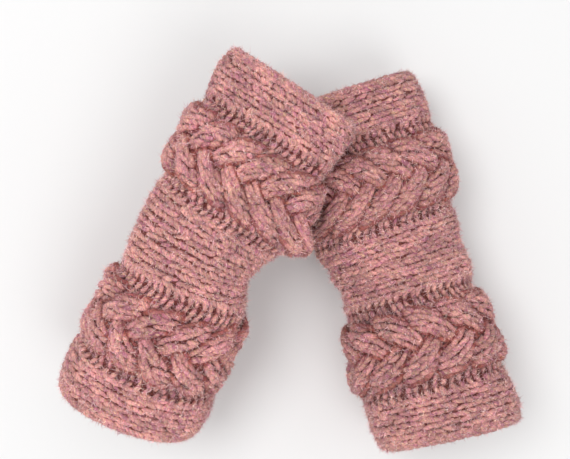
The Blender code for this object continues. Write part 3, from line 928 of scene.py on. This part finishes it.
def plait_legs(form):
    """Legs at (plait, strand, line, row) along the strand's path, fanned over its round back."""
    bands = np.array([(start + width / 2, width / 2)
                      for (kind, _, width), start in zip(BANDS, EDGES) if kind == "plait"])
    t = np.linspace(0.0, 1.0, LEG_RINGS)
    band, strand, line, row = every(np.arange(len(bands)), np.arange(STRANDS),
                                    np.arange(len(STRAND_LINES)), np.arange(ROWS))
    jitter = rng.normal(0.0, 1.0, (4, len(row), 1))
    middle, half = bands[band, 0], bands[band, 1]
    length = PLAIT_LEG_ROWS * (1 + PLAIT_STRAY["long"] * jitter[1])
    rows = (row + 0.5 + (t - 0.5) * length) / ROWS
    turn = strand_turn(rows, strand)
    reach, lift = strand_path(turn)
    outer = np.where(line % 2 == 0, -1.0, 1.0)
    over = np.radians(STRAND_LINES[line] + outer * LEG_SLANT * (1.0 - 2.0 * t)
                      + PLAIT_STRAY["degrees"] * jitter[0])
    station = (middle + STRAND_SWING * half * reach
               + STRAND_REACH * strand_widening(turn) * np.sin(over))
    height = (WALL_OUT + PLAIT_FLOOR + STRAND_LIFT * lift + STRAND_RISE * np.cos(over)
              - PLAIT_LEG_RADIUS - PLAIT_DIVE * dive(t) + PLAIT_STRAY["up"] * jitter[3])
    radius = PLAIT_LEG_RADIUS * grain(t) * (1 + PLAIT_STRAY["thick"] * jitter[2])
    height = np.maximum(height, radius - UNDERSIDE)
    per_row = np.interp(middle, form["stations"], form["round"]) / ROWS
    slope = (np.abs(np.gradient(reach, axis=1)) * STRAND_SWING * half
             / (PLAIT_LEG_ROWS * per_row / (LEG_RINGS - 1)))
    cover = WALL_OUT + plait_height((station - middle) / half, rows, strand)
    clear = height + radius - cover
    shown = (clear > -HIDDEN).any(axis=1) & (slope.mean(axis=1) < STEEPEST)
    # painted shade: flank legs and legs low beside the covering strand are darkened
    shade = (np.clip(np.cos(over), DARKEST_FLANK, 1.0) ** FLANK_EASE
             * np.clip(AT_THE_TOP + clear / CLEAR, DARKEST, 1.0))
    return station[shown], rows[shown], height[shown], radius[shown], shade[shown]


for side in WARMERS:
    knit(side, "plaits", *plait_legs(forms[side]), soft=PLAIT_SOFT)

# %% [markdown]
# ## Rims, seam and slit edges
# The slipped stitch along each rim makes a chain that rolls over the edge. Cast-on and bound-off
# edges make a chain on each side of the seam and the slit, and short bars of the sewing yarn draw
# them together where the seam is closed. A bevel would round the slab's edges too, but would show
# no stitches, so these are tubes.

# %% Chains along the rims
RIM_LINES = (
    # distance in from the rim, height, radius
    (1.9, 1.05, 1.45),
    (0.7, -0.25, 1.50),
    (1.7, -1.35, 1.20),
)
RIM_LEG_ROWS = 1.35
RIM_STEP = 0.25               # rows between one line's links and the next's
RIM_DIVE = 0.35
RIM_STRAY = {"across": 0.12, "up": 0.1}


def rim_chains():
    """Legs round both rims, in lines that go over the edge from the outside to the inside."""
    t = np.linspace(0.0, 1.0, LEG_RINGS)
    lines = np.array([(distance if end == 0 else LENGTH - distance, height, radius)
                      for end in (0, 1) for distance, height, radius in RIM_LINES])
    line, row = every(np.arange(len(lines)), np.arange(ROWS))
    jitter = rng.normal(0.0, 1.0, (2, len(row), 1))
    station = lines[line, 0] + RIM_STRAY["across"] * jitter[0]
    rows = (row + 0.5 + RIM_STEP * line + (t - 0.5) * RIM_LEG_ROWS) / ROWS
    height = lines[line, 1] - RIM_DIVE * dive(t) + RIM_STRAY["up"] * jitter[1]
    return np.broadcast_arrays(station, rows, height, lines[line, 2] * grain(t))


for side in WARMERS:
    knit(side, "rims", *rim_chains())

# %% Chains beside the seam and round the slit
CHAIN_PITCH = 4.3
CHAIN_RADIUS = 1.30
CHAIN_OVERLAP = 1.4           # length of a link, in pitches
CHAIN_STEP = 0.3              # pitches between one line's links and the next's
CHAIN_DOME = 0.35
CHAIN_STRAY = 0.1
CHAIN_INSET = 1.0             # the chains end this far inside the rims
CHAIN_LINES = (
    # distance from the edge, height
    (0.7, -0.3),
    (1.6, 1.0),
)


def edge_chains(form):
    """Legs along both sewn edges, from rim to rim, at a steady distance from the edge."""
    t = np.linspace(0.0, 1.0, LEG_RINGS)
    count = int(LENGTH / CHAIN_PITCH)
    edge, line, link = every((0, 1), (0, 1), np.arange(count))
    lines = np.array(CHAIN_LINES)
    jitter = rng.normal(0.0, 1.0, (2, len(link), 1))
    station = (link + 0.5 + CHAIN_STEP * line + (t - 0.5) * CHAIN_OVERLAP) * LENGTH / count
    station = np.clip(station, CHAIN_INSET, LENGTH - CHAIN_INSET)
    away = (lines[line, 0] + CHAIN_STRAY * jitter[0]) / form["mean_round"]
    rows = np.where(edge == 0, away, 1.0 - away)
    height = lines[line, 1] + CHAIN_DOME * np.sin(math.pi * t) + CHAIN_STRAY * jitter[1]
    return np.broadcast_arrays(station, rows, height, CHAIN_RADIUS * grain(t))


# %% Bars over the seam
SEW_PITCH = 5.2
SEW_RADIUS = 1.0
SEW_ENDS = (3.0, 2.0)         # how far from the two rims the sewing stops
SEW_HALF_ALONG = 1.6          # half a bar's length along the seam
SEW_HALF_ACROSS = 2.4         # and across it
SEW_TOP = 2.0
SEW_DIVE = 1.5


def sewing_bars(form):
    """Slanted bars over the closed part of the seam, each an arch: top - dive * t^2."""
    t = np.linspace(-1.0, 1.0, LEG_RINGS)[None, :]
    at = np.arange(SEW_ENDS[0], LENGTH - SEW_ENDS[1], SEW_PITCH)
    at = at[slit_share(form, at) == 0][:, None]
    return np.broadcast_arrays(at + SEW_HALF_ALONG * t, SEW_HALF_ACROSS * t / form["mean_round"],
                               SEW_TOP - SEW_DIVE * t**2, SEW_RADIUS * grain(0.5 + 0.5 * t))


for side in WARMERS:
    both = zip(edge_chains(forms[side]), sewing_bars(forms[side]))
    knit(side, "seam", *(np.concatenate(pair) for pair in both))

# %% [markdown]
# ## Loose hairs
# Wool is hairy. Thousands of thin ribbons grow out of the yarn, which softens every edge and every
# hollow as in the photograph. A hair system would make them too, but it leaves no mesh to export.
# So each hair is one long triangle, or three for the longer ones, along a curve that starts on the
# yarn and leans at random between the way out and the cloth. It takes its colour and its painted
# shade from its root, with less painted shade towards its tip.

# %% Hairs
ROOT_DEPTH = 0.14             # yarn that lies deeper than this carries no hairs
HAIR_LIGHTER = 0.50           # how much less painted shade a hair's tip carries than its root
LONGEST_HAIR = 4.0
LENGTH_SHAPE = 2.0            # of the gamma spread of the lengths
ROOT_SCATTER = 0.25
LEAST_OUT = 0.1               # a hair leans at least this much outward
RIBBON_TURN = 0.7             # how much the ribbons' flat sides turn at random
HAIR_KINDS = (
    # count, rings, shortest, mean extra, width, lean outward, curl
    (176000, 2, 1.0, 1.2, 0.29, 0.8, 0.0),
    (3300, 3, 2.0, 1.4, 0.16, 1.1, 0.6),
)


def hair_strips(backs, count, rings, shortest, extra, width, lean, curl):
    """Ribbons along P + l (t way + t^2 bend), with P on the yarn and the way leaning outward."""
    chosen = backs[rng.integers(0, len(backs), count)]
    root = chosen[:, None, BACK["point"]] + rng.normal(0.0, ROOT_SCATTER, (count, 1, 3))
    outward = chosen[:, None, BACK["way_out"]]
    length = shortest + rng.gamma(LENGTH_SHAPE, extra / LENGTH_SHAPE, (count, 1, 1))
    length = np.minimum(length, LONGEST_HAIR)
    way = unit(lean * outward + rng.normal(0.0, 1.0, (count, 1, 3)))
    short_of = np.maximum(LEAST_OUT - (way * outward).sum(-1, keepdims=True), 0.0)
    way = unit(way + short_of * outward)
    bend = curl * rng.normal(0.0, 1.0, (count, 1, 3))
    t = np.linspace(0.0, 1.0, rings)[None, :, None]
    paths = root + length * (t * way + t**2 * bend)
    tangent = unit(np.gradient(paths, axis=1))
    across = unit(np.cross(tangent, outward + rng.normal(0.0, RIBBON_TURN, (count, 1, 3))))
    half = width / 2 * np.linspace(1.0, 0.0, rings)[None, :, None]
    points = np.stack((paths - across * half, paths + across * half), axis=2)
    points = points.reshape(count, -1, 3)[:, :-1]
    one = np.array([(n, n + 2, n + 1) if n % 2 == 0 else (n, n + 1, n + 2)
                    for n in range(2 * rings - 3)])
    faces = one[None] + np.arange(count)[:, None, None] * (2 * rings - 1)
    place = np.repeat(chosen[:, BACK["place"]], 2 * rings - 1, axis=0)
    stitch = np.repeat(rng.uniform(0.0, 1.0, count), 2 * rings - 1)
    lighter = HAIR_LIGHTER * np.repeat(t.ravel(), 2)[:-1]
    # painted shade: a hair takes its root's depth, lightened towards its tip
    depth = np.clip((chosen[:, BACK["depth"], None] + lighter).ravel(), 0.0, 1.0)
    return points.reshape(-1, 3), faces.reshape(-1, 3), place, stitch, depth


def hairs(side):
    """Short fuzz and a few long hairs, joined into one piece."""
    backs = np.concatenate(yarn_backs[side])
    backs = backs[backs[:, BACK["depth"]] > ROOT_DEPTH]
    kinds = [hair_strips(backs, *kind) for kind in HAIR_KINDS]
    starts = np.cumsum([0] + [len(kind[0]) for kind in kinds[:-1]])
    points, faces, place, stitch, depth = (np.concatenate(parts) for parts in zip(*kinds))
    faces = faces + np.repeat(starts, [len(kind[1]) for kind in kinds])[:, None]
    return dress(side, "hairs", points, faces, place, stitch, depth, LOOSE[side])


for side in WARMERS:
    hairs(side)

# %% [markdown]
# ## What the pieces stand for
# The knitted slab stands for the imported solid, which is hidden. The slab is the cloth: a rectangle
# as long as the warmer and as wide as the way round it, stretched as it is when worn, with its
# stitches, its rims, its seam and its hairs as pieces on it.

for side in WARMERS:
    cloth = pieces[side].pop("cloth")
    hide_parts(side + "_warmer")

# %% Count the triangles and finish
made = [piece for piece in bpy.data.objects if piece.type == "MESH"
        and piece.name.split("_")[0] in WARMERS and not piece.name.endswith("warmer")]
print("triangles added:", sum(len(piece.data.loops) - 2 * len(piece.data.polygons)
                              for piece in made))
